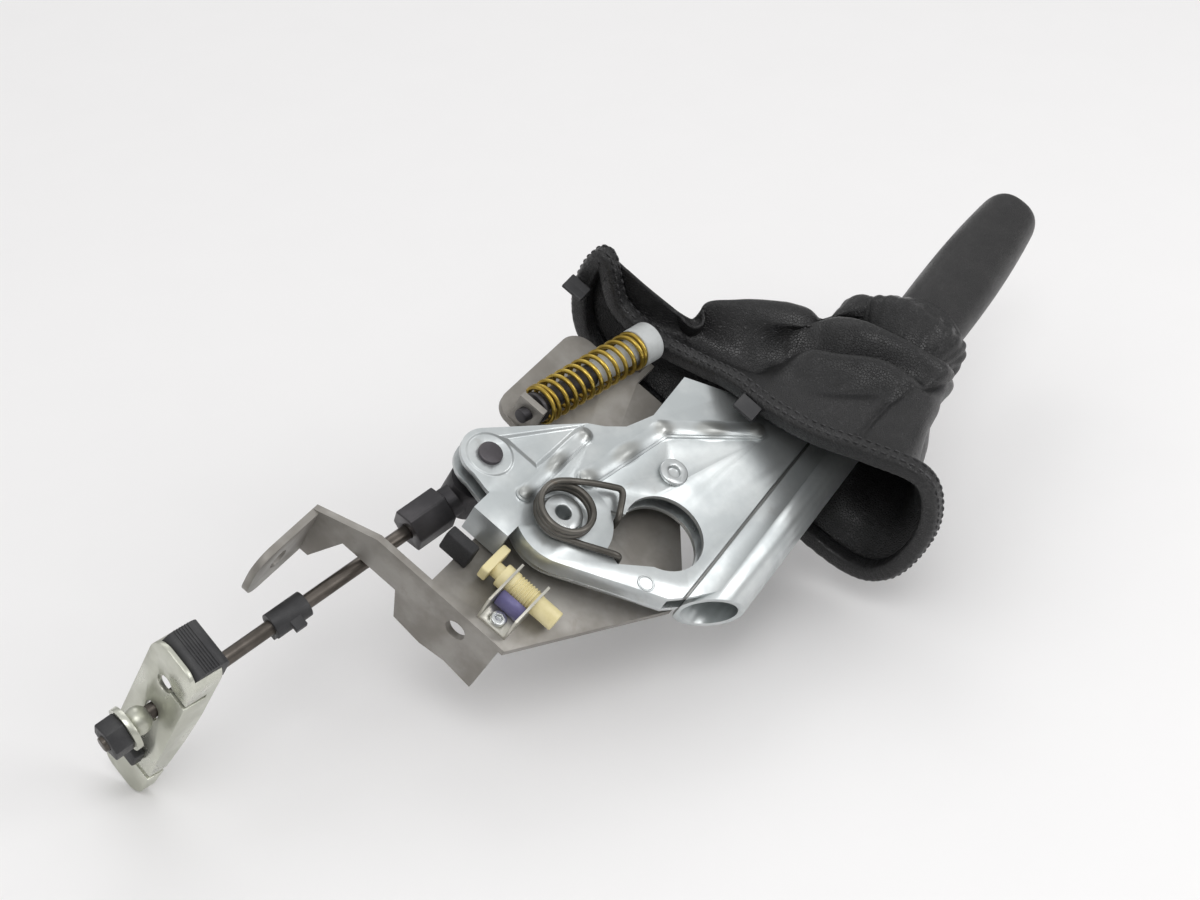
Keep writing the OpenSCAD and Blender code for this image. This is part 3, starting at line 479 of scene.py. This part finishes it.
nose_from = GRIP_TO - GRIP_NOSE
nose = nose_from + GRIP_NOSE * np.sin(np.linspace(0.06, np.pi / 2, 16))
grip_x = np.concatenate([[GRIP_FROM, GRIP_FROM], np.linspace(GRIP_FROM + 0.6, nose_from, 150), nose,
                         [GRIP_TO, GRIP_TO - 1.2, GRIP_TO - 6]])
share = (grip_x - GRIP_FROM) / (GRIP_TO - GRIP_FROM)
tip = np.sqrt(np.clip(1 - np.clip((grip_x - nose_from) / GRIP_NOSE, 0, 1) ** 2, 0, 1))
shrink = 0.86 + 0.14 * tip
shrink[1] = 0.97
half_w = (GRIP_HALF_W + GRIP_SWELL_W * np.sin(np.pi * share) - GRIP_TAPER_W * share) * shrink
half_h = (GRIP_HALF_H + GRIP_SWELL_H * np.sin(np.pi * share) - GRIP_TAPER_H * share ** 3) * shrink
half_w[0] = half_h[0] = GRIP_MOUTH_R
half_w[-3:] = half_h[-3:] = [GRIP_BUTTON_R + 0.15, GRIP_BUTTON_R, GRIP_BUTTON_R]
sag = 1.2 + 0.6 * share ** 2
sag[-3:] = 0.0
around = np.linspace(0, 2 * np.pi, 128, endpoint=False)
grip_y, grip_z = rounded(around, GRIP_CORNER)
groove = 1 - GROOVE_DEEP * np.exp(-(np.angle(np.exp(1j * around)) / GROOVE_WIDE) ** 2)
grip = along_handle(grip_x[:, None] + 0 * around, sag[:, None] + half_h[:, None] * grip_y * groove,
                    half_w[:, None] * grip_z * groove)
grip_leather = leather("grip_leather", "#171617", "#242323", 0.8, 0.1)
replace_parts(outward(surface("grip_leather_sleeve", grip, grip_leather, "lever", along=True)), "grip")
dressed("release_button", moulded("button_plastic", "#45292c", "#553437", 0.28, 0.02), 1.2)
dressed("push_rod", turned_steel, 0.3)

# Boot. A gaiter of soft black leather, cut from one sheet, sewn to a rim and gathered to a band on the handle. As it
# lies on the bench it drapes in folds, with one end tucked in.
RIM = np.array([[110, 62, 10], [113, 46, -10], [114, 22, -12], [112, 3, -4], [107, -13, 7], [104, -32, 12],
                [102, -52, 20], [102, -74, 32], [103, -95, 40], [106, -107, 27], [108, -113, 5], [108, -111, -20],
                [108, -97, -33], [110, -60, -38], [110, -20, -40], [110, 22, -39], [111, 50, -34],
                [112, 63, -15]], float)
AROUND, ALONG = 320, 130
NECK_X, NECK_W, NECK_H, SWELL, BOOT_Z = 216.0, 36.0, 39.0, 6.0, -11
BOOT_MIDDLE = np.array([160.0, -40.0, -8.0])
HIDE_THICK, SEWN_IN, SEWN_BACK = 1.4, 1.2, 4.0
# Folds as height, half width in millimetres and the line that they follow, each point of it a place on the rim and
# a share of the way to the neck.
FOLDS = [(8.5, 11.0, [(0.9, 0.36), (1.2, 0.44), (2.4, 0.55), (5.1, 0.60), (7.0, 0.65), (9.0, 0.80)]),
         (-6.0, 8.0, [(1.1, 0.10), (1.5, 0.12), (2.7, 0.15), (3.8, 0.19)]),
         (-11.0, 6.5, [(2.9, 0.22), (2.8, 0.36), (4.6, 0.44), (5.9, 0.53), (7.4, 0.58)]),
         (7.5, 6.5, [(4.1, 0.22), (4.3, 0.35), (5.3, 0.42), (6.2, 0.45), (7.0, 0.46)]),
         (8.5, 8.0, [(-1.0, 0.74), (0.4, 0.80), (3.0, 0.86), (5.3, 0.88), (6.6, 0.86), (8.8, 0.92)]),
         (-10.5, 5.5, [(0.9, 0.60), (2.4, 0.74), (5.5, 0.70), (7.0, 0.72), (9.0, 0.86)]),
         (3.0, 4.0, [(1.5, 0.95), (4.0, 0.955), (6.5, 0.95), (9.0, 0.965)]),
         (-3.0, 5.0, [(5.2, 0.20), (5.8, 0.28), (6.3, 0.34)]),
         (2.6, 5.0, [(7.9, 0.16), (8.1, 0.34), (8.9, 0.52)]),
         (-3.5, 6.0, [(9.2, 0.14), (9.4, 0.40), (10.2, 0.66)]),
         (4.0, 8.0, [(10.6, 0.15), (11.0, 0.45), (12.2, 0.75)]),
         (-5.0, 8.0, [(12.2, 0.12), (12.6, 0.40), (12.2, 0.70)]),
         (5.0, 9.0, [(13.6, 0.20), (14.0, 0.50), (13.4, 0.80)]),
         (-5.0, 9.0, [(15.0, 0.12), (14.9, 0.40), (15.6, 0.70)])]
INWARD = np.array([0.28, -0.92, -0.28])
TUCKS = [(24.0, 15.0, [(-1.7, 0.08), (-0.7, 0.08), (0.3, 0.08)]),
         (7.0, 15.0, [(-0.9, 0.50), (-0.1, 0.58), (0.6, 0.62)]),
         (-6.0, 13.0, [(-0.7, 0.27), (-0.1, 0.28), (0.5, 0.30)])]
SEAMS = [[(6.7, 0.06), (6.75, 0.18), (6.85, 0.31), (7.15, 0.44)],
         [(7.2, 0.45), (8.1, 0.57), (9.0, 0.72), (9.7, 0.86)]]
SEAM_SUNK, SEAM_HALF = -2.2, 1.8
ROUND_WAVES, EASING, EASE_SHARE = 5.5, 70, 0.2
GATHERS, GATHER_HIGH, GATHER_TWIST = 28, 0.5, 8
RIM_HOLD, NECK_HOLD, NECK_DRAW = 0.07, 0.03, 0.6


def rim_curve(u):
    """Closed smooth curve through the rim's points, u counted in points, and its outward side."""
    def at(v):
        """Cubic of the stretch that v falls in."""
        i = np.floor(v).astype(int)
        return cubic(*(RIM[(i + k) % len(RIM)] for k in (-1, 0, 1, 2)), (v - i)[:, None])

    t = at(u + 0.05) - at(u - 0.05)
    out = np.stack([0 * u, t[:, 2], -t[:, 1]], 1)
    return at(u), out / np.linalg.norm(out, axis=1, keepdims=True)


def facing(points):
    """Outward unit normals of the boot's grid, from its steps along and around."""
    step = (np.roll(points, -1, 1) - np.roll(points, 1, 1)) / 2
    n = np.cross(step, np.gradient(points, axis=0))
    n /= np.linalg.norm(n, axis=2, keepdims=True)
    return n * np.sign(np.sum(n * (points - BOOT_MIDDLE), axis=2).mean())


def on_skin(field, line, count):
    """Values of a field of the boot along a line on it, between the grid's points by straight shares."""
    line = np.array(line, float)
    s = np.linspace(0, len(line) - 1, count)
    a, b = (np.interp(s, np.arange(len(line)), c) for c in line.T)
    a, b = a / len(RIM) * AROUND, np.clip(b, 0, 1) * (ALONG - 1)
    i, k = np.floor(a).astype(int), np.clip(np.floor(b).astype(int), 0, ALONG - 2)
    fa, fb = (a - i)[:, None], (b - k)[:, None]
    i, j = i % AROUND, (i + 1) % AROUND
    low = field[k, i] * (1 - fa) + field[k, j] * fa
    high = field[k + 1, i] * (1 - fa) + field[k + 1, j] * fa
    return low * (1 - fb) + high * fb


def bells(points, line, width):
    """Bell of the given half width across a line on the skin, by distance, faded at the line's ends."""
    fade = np.sin(np.pi * np.linspace(0.07, 0.93, 48)) ** 0.5
    off = np.linalg.norm(points[:, :, None] - on_skin(points, line, 48), axis=3)
    return (np.exp(-(off / width) ** 2) * fade).max(2)


# The plain gaiter runs from inside the rim to the neck, is rounded by dropping short waves round it, tucked in and
# eased as a soap film would be, and then takes its folds, seams and gathers along its own normals.
u = np.linspace(0, len(RIM), AROUND, endpoint=False)
rim, rim_out = rim_curve(u)
neck_y = HANDLE_FROM[1] + (NECK_X - HANDLE_FROM[0]) * np.tan(HANDLE_TILT)
neck_a = np.arctan2((rim[:, 2] - BOOT_Z) / NECK_W, (rim[:, 1] - neck_y) / NECK_H)
neck = np.stack([np.full(AROUND, NECK_X), neck_y + NECK_H / 2 * np.cos(neck_a),
                 BOOT_Z + NECK_W / 2 * np.sin(neck_a)], 1)
v = np.linspace(0, 1, ALONG)[:, None]
draw = v ** NECK_DRAW
start = rim - SEWN_IN * rim_out + [SEWN_BACK, 0, 0]
skin = np.stack([start[None, :, 0] * (1 - v) + neck[None, :, 0] * v,
                 start[None, :, 1] * (1 - draw) + neck[None, :, 1] * draw,
                 start[None, :, 2] * (1 - draw) + neck[None, :, 2] * draw + SWELL * np.sin(np.pi * v)], -1)
waves = np.fft.rfft(skin, axis=1)
keep = np.exp(-(np.arange(waves.shape[1]) / ROUND_WAVES)[:, None] ** 2)
skin = skin + np.clip(v / 0.1, 0, 1)[..., None] * (np.fft.irfft(waves * keep, AROUND, axis=1) - skin)
tucks = sum(depth * bells(skin, line, width) for depth, width, line in TUCKS)
skin = skin + (tucks * np.clip(v / 0.02, 0, 1))[..., None] * INWARD
for _ in range(EASING):
    beside = (np.roll(skin, 1, 1) + np.roll(skin, -1, 1) - 4 * skin)[1:-1]
    skin[1:-1] += EASE_SHARE * beside + EASE_SHARE * (skin[2:] + skin[:-2])
folds = sum(rise * bells(skin, line, width)
            for rise, width, line in FOLDS + [(SEAM_SUNK, SEAM_HALF, seam) for seam in SEAMS])
gathers = GATHER_HIGH * np.sin(u * 2 * np.pi / len(RIM) * GATHERS + GATHER_TWIST * v) * v ** 4
hold = np.clip(v / RIM_HOLD, 0, 1) ** 1.2 * np.clip((1 - v) / NECK_HOLD, 0, 1)
skin = skin + facing(skin) * (folds * hold + gathers * hold)[..., None]
black_leather = leather("black_leather", "#111112", "#1c1b1c")
gaiter = surface("boot_gaiter", skin, black_leather, "lever")
thick = gaiter.modifiers.new("leather thickness", "SOLIDIFY")
thick.thickness = HIDE_THICK / MM_PER_M
thick.offset = 0.0
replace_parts(gaiter, "boot")

# Boot rim. A springy plastic frame wrapped in the boot's leather, with a rounded section that wrinkles a little
# where the leather is drawn round it; as it lies, its near bar sags over the lever.
RIM_THICK, RIM_WIDE, RIM_CORNER, RIM_WRINKLE = 4.3, 3.9, 0.6, 0.03
section = np.linspace(0, 2 * np.pi, 28, endpoint=False)
section_x, section_n = rounded(section, RIM_CORNER)
rim_u = np.linspace(0, len(RIM), 420, endpoint=False)
rim_mid, rim_side = rim_curve(rim_u)
wrinkle = 1 + RIM_WRINKLE * np.sin(rim_u * 41)[:, None] * np.sin(section * 2 + rim_u[:, None] * 3)
rim_grid = (rim_mid[:, None] + (RIM_THICK * section_x * wrinkle)[..., None] * np.array([1.0, 0, 0])
            + (RIM_WIDE * section_n * wrinkle)[..., None] * rim_side[:, None])
rim_piece = surface("boot_rim_leather", rim_grid, black_leather, "lever", along=True)
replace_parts(outward(rim_piece), "boot_frame")

# Stitching. Waxed black thread that is sewn through the leather: two rows round the rim, two along each seam of the
# boot and two under the grip. Each stitch is a short bar with its ends sunk in.
STITCH_ROWS = np.array([-0.5, -0.38, 0.0, 0.38, 0.5])
STITCH_FAT = np.array([0.15, 0.8, 1.0, 0.8, 0.15])
STITCH_DIP = np.array([-0.3, 0.05, 0.22, 0.05, -0.3])
STITCH_LONG, STITCH_R, STITCH_SIDES = 2.8, 0.5, 6
RIM_STITCHES, SEAM_STITCHES, GRIP_STITCHES = 118, 17, 34
SEAM_APART, SEAM_LIFT, GRIP_APART, GRIP_SUNK = 1.5, 0.75, 1.7, 0.965
thread = leather("waxed_thread", "#2b2b2c", "#3d3c3e", 0.5, 0.05)


def stitches(name, points, lift, count):
    """Row of stitches: short rounded bars on a line, each along it and half sunk in the leather."""
    s = np.concatenate([[0], np.cumsum(np.linalg.norm(np.diff(points, axis=0), axis=1))])
    mid = np.linspace(s[0], s[-1], count, endpoint=False) + s[-1] / count / 2

    def along(values, shift=0.0):
        """Values at the stitches' middles, shifted along the line."""
        return np.stack([np.interp(mid + shift, s, values[:, k]) for k in range(3)], 1)

    at, up, t = along(points), along(lift), along(points, 0.8) - along(points, -0.8)
    t /= np.linalg.norm(t, axis=1, keepdims=True)
    up /= np.linalg.norm(up, axis=1, keepdims=True)
    side = np.cross(t, up)
    a = np.linspace(0, 2 * np.pi, STITCH_SIDES, endpoint=False)
    rows, fat, dip = STITCH_LONG * STITCH_ROWS, STITCH_R * STITCH_FAT[:, None], STITCH_R * STITCH_DIP[:, None]
    bars = (at[:, None, None] + rows[:, None, None] * t[:, None, None]
            + (fat * np.cos(a))[..., None] * side[:, None, None]
            + (fat * np.sin(a) + dip)[..., None] * up[:, None, None])
    index = np.arange(bars[..., 0].size).reshape(bars.shape[:3])
    turn = np.roll(index, -1, 2)
    quads = np.stack([index[:, :-1], turn[:, :-1], turn[:, 1:], index[:, 1:]], -1).reshape(-1, 4)
    ends = np.concatenate([index[:, 0, ::-1], index[:, -1]])
    mesh = bpy.data.meshes.new(name)
    mesh.from_pydata(lay(bars.reshape(-1, 3)), [], quads.tolist() + ends.tolist())
    outward(placed(name, mesh, thread, "lever"))


loop = np.concatenate([rim_mid, rim_mid[:1]])
loop_side = np.concatenate([rim_side, rim_side[:1]])
for name, dx, push in (("rim_thread_front", 2.2, 3.75), ("rim_thread_back", -1.6, 3.85)):
    stitches(name, loop + push * loop_side + [dx, 0, 0], loop_side, RIM_STITCHES)
normal = facing(skin)
for k, seam in enumerate(SEAMS):
    line, lift = on_skin(skin, seam, 80), on_skin(normal, seam, 80)
    beside = np.cross(lift, np.gradient(line, axis=0))
    beside *= SEAM_APART / np.linalg.norm(beside, axis=1, keepdims=True)
    for side, hand in ((-1, "left"), (1, "right")):
        stitches(f"boot_seam_{k}_{hand}", line + side * beside + SEAM_LIFT * lift, lift, SEAM_STITCHES)
seam_x = np.linspace(GRIP_FROM + 4, GRIP_TO - 9, 40)
seam_y = np.interp(seam_x, grip_x[2:-3], (sag + half_h * GRIP_SUNK)[2:-3])
grip_low = along_handle(seam_x, seam_y, 0 * seam_x)
for name, off in (("grip_seam_left", -GRIP_APART), ("grip_seam_right", GRIP_APART)):
    stitches(name, grip_low + [0, 0, off], np.tile(HANDLE_Y, (len(seam_x), 1)), GRIP_STITCHES)

# Boot hooks and band. Three black plastic hooks on the rim's frame snap into the console; a leather band ties the
# boot's neck to the handle.
HOOK_SIDE = np.array([[0.0, -2.4], [-3.0, -2.2], [-3.6, -3.0], [-7.0, -0.8], [-7.0, 0.6], [-3.4, 1.4], [0.0, 2.6]])
HOOK_WIDE = np.array([-5.0, 5.0])
HOOK_PLACES, HOOK_OFF, HOOK_EDGE = np.array([4.6, 13.0, 17.2]), [-4.75, 0.0, 0.0], 0.4
BAND_X = np.array([204.2, 204.2, 204.8, 206.5, 209.0, 211.5, 213.2, 213.8, 213.8])
BAND_R = np.array([11.2, 17.2, 18.0, 18.4, 18.5, 18.4, 18.0, 17.2, 11.2])
BAND_SAG, BAND_TALL, BAND_NARROW = 0.4, 1.06, 0.97
black_plastic = moulded("black_moulding", "#2a2a2c", "#3a3a3b", 0.5)
hook_at = (rim_curve(HOOK_PLACES)[0] + HOOK_OFF)[:, None, None]
hooks = np.stack(np.broadcast_arrays(hook_at[..., 0] + HOOK_SIDE[:, 0], hook_at[..., 1] + HOOK_WIDE[:, None],
                                     hook_at[..., 2] + HOOK_SIDE[:, 1]), -1)
index = np.arange(hooks[..., 0].size).reshape(hooks.shape[:3])
turn = np.roll(index, -1, 2)
walls = np.stack([index[:, 0], turn[:, 0], turn[:, 1], index[:, 1]], -1).reshape(-1, 4)
mesh = bpy.data.meshes.new("boot_hooks")
mesh.from_pydata(lay(hooks.reshape(-1, 3)), [], walls.tolist() + index[:, 0, ::-1].tolist() + index[:, 1].tolist())
hook_piece = outward(placed("boot_hooks", mesh, black_plastic, "lever", smooth=False))
edge = hook_piece.modifiers.new("moulded edge", "BEVEL")
edge.width = HOOK_EDGE / MM_PER_M
edge.segments = 2
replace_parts(hook_piece, "boot_clips")
band = along_handle(BAND_X[:, None] + 0 * around, BAND_SAG + BAND_R[:, None] * np.cos(around) * BAND_TALL,
                    BAND_R[:, None] * np.sin(around) * BAND_NARROW)
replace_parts(outward(surface("boot_band", band, black_leather, "lever", along=True)), "boot_collar")

# Pull rod. A blackened eye turns on the cable pin and screws on the threaded rod with a long hexagon adjuster; a
# plastic clip and a thin wire on the rod keep the equalizer from turning.
dressed("rod_eye", black_oxide, 0.8)
dressed("adjuster_nut", black_oxide, 0.7)
dressed("pull_rod", plated("drawn_rod", "#6b655f", "#504b46", "#7a6450", 0.36, 0.85, 0.5), 0.3)
dressed("rod_clip", black_plastic, 0.7)
dressed("lock_wire", black_oxide, 0.3)

# Equalizer. A zinc plated channel that rocks on the rod's ball and shares the pull between two cables, whose nipples
# hang in its keyhole slots; black plastic holds them in.
equal_zinc = plated("equalizer_zinc", "#d3d4c9", "#bcbdb1", "#8f8b7e", 0.3, 0.8, 0.3)
dressed("equalizer", equal_zinc, 1.3)
dressed("ball_washer", equal_zinc, 0.5)
dressed("end_nut", black_plastic, 0.7)
dressed("equalizer_cap", black_plastic, 0.8)
dressed("cable_retainer", black_plastic, 0.9)

# Studio. A pale paper floor just under the part's lowest point, three soft panels and a sky that is paler overhead;
# the camera stands where the photograph was taken, 30 degrees wide.
FLOOR_HALF, FLOOR_GAP, PAPER_CLOUDS = 40, 0.0006, 30.0
SKY_LOW, SKY_HIGH = 0.3, 0.84
AIM = [60.0, -20.0, -10.0]
PANELS = [("key_panel", (-0.6, -0.5, 1.3), 0.7, 5.0), ("back_panel", (0.9, 0.9, 1.4), 1.0, 3.0),
          ("front_panel", (0.6, -1.2, 0.8), 0.8, 5.5)]
EYE, VIEW_WIDE = [-526.6, -68.8, 678.6], np.radians(30.0)
EYE_RIGHT, EYE_BACK = np.array([0.545, -0.753, 0.369]), np.array([-0.637, -0.086, 0.766])
floor_z = CAD_BOX[0][2] - FLOOR_GAP
mesh = bpy.data.meshes.new("floor")
mesh.from_pydata([(x * FLOOR_HALF, y * FLOOR_HALF, floor_z) for x, y in ((-1, -1), (1, -1), (1, 1), (-1, 1))], [],
                 [(0, 1, 2, 3)])
floor = bpy.data.objects.new("floor", mesh)
bpy.context.collection.objects.link(floor)
paper, tree, shader, place = new_finish("paper_floor")
speck = add(tree, "TexNoise", {"Vector": place, "Scale": PAPER_CLOUDS, "Detail": 4.0})
sheet = add(tree, "Mix", {0: speck, COLOUR_A: paint("#f1f0f0"), COLOUR_B: paint("#efeeee")}, COLOUR_OUT, **COLOUR)
tree.links.new(sheet, shader.inputs["Base Color"])
shader.inputs["Roughness"].default_value = 0.9
mesh.materials.append(paper)

scene = bpy.context.scene
scene.world = bpy.data.worlds.new("studio")
scene.world.use_nodes = True
tree = scene.world.node_tree
sky = tree.nodes["Background"]
sky.inputs["Color"].default_value = (1.0, 1.0, 1.0, 1.0)
height = add(tree, "SeparateXYZ", (add(tree, "TexCoord", out="Generated"),), "Z")
tree.links.new(add(tree, "MapRange", (height, 0.05, 0.75, SKY_LOW, SKY_HIGH), **SMOOTH), sky.inputs["Strength"])
for name, at, size, watts in PANELS:
    lamp = bpy.data.lights.new(name, "AREA")
    lamp.size = size
    lamp.energy = watts
    panel = bpy.data.objects.new(name, lamp)
    bpy.context.collection.objects.link(panel)
    panel.location = at
    panel.rotation_euler = (mathutils.Vector(lay(AIM)) - panel.location).to_track_quat("-Z", "Y").to_euler()

camera = bpy.data.objects.new("camera", bpy.data.cameras.new("camera"))
bpy.context.collection.objects.link(camera)
back = EYE_BACK / np.linalg.norm(EYE_BACK)
right = EYE_RIGHT - (EYE_RIGHT @ back) * back
right /= np.linalg.norm(right)
pose = np.eye(4)
pose[:3, :3] = LAID @ np.stack([right, np.cross(back, right), back], 1)
pose[:3, 3] = lay(EYE)
camera.matrix_world = mathutils.Matrix(pose.tolist())
camera.data.sensor_fit = "HORIZONTAL"
camera.data.angle = VIEW_WIDE
scene.camera = camera
scene.view_settings.view_transform = "Standard"
